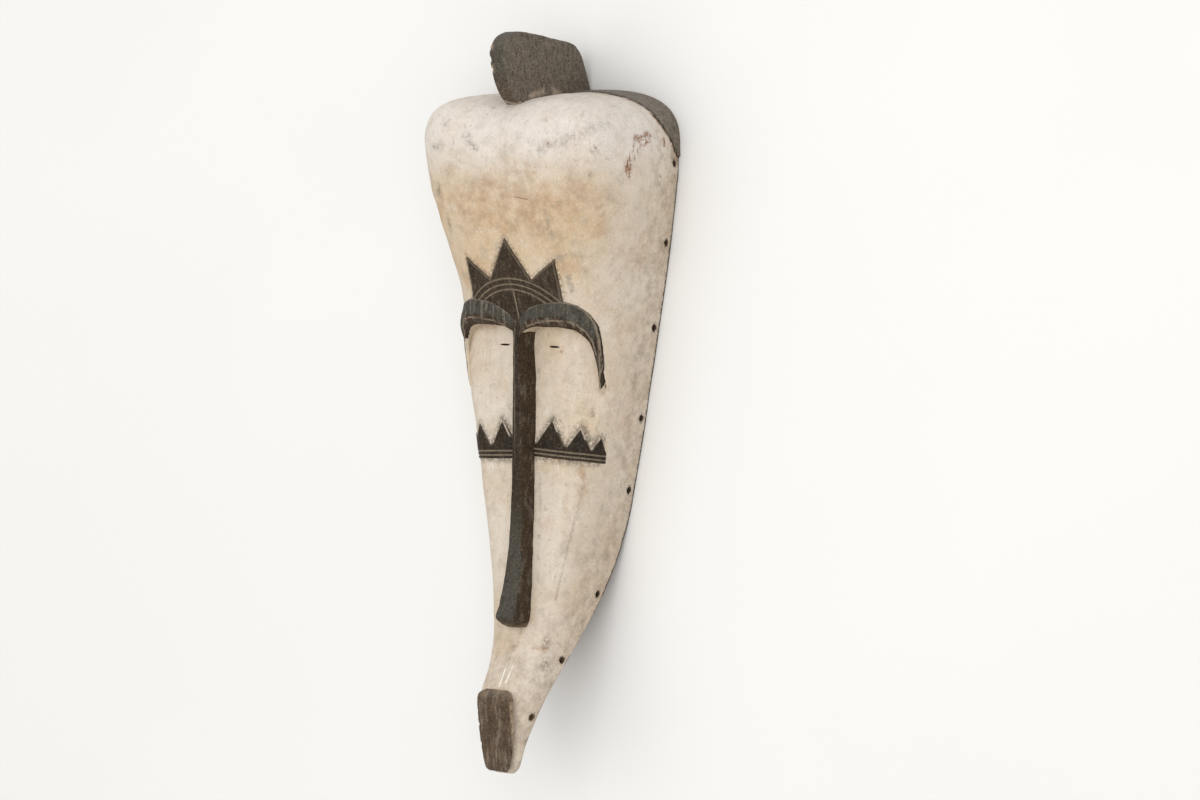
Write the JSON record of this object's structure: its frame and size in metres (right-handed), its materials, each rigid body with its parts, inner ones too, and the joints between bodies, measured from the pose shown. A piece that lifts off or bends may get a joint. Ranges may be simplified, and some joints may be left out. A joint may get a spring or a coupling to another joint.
{
  "type": "fang mask",
  "caption": "Tall tusk-shaped wooden face mask with a fin crest, whitened face, dark brows and nose, toothed carved bands, and a hollow back.",
  "frame": {"origin": "centre of the mask's outline, in the plane of its flat back rim, which is what it lies on", "axes": "+Z out of the face, +Y along the mask from the chin to the crest, +X to the right of someone looking at the face"},
  "size_m": [0.229, 0.686, 0.1395],
  "materials": {
    "mask": "chalky whitened wood with dark brown painted crest, brows, nose and bands"
  },
  "bodies": {
    "root": {"mask": "mask"}
  },
  "joints": []
}
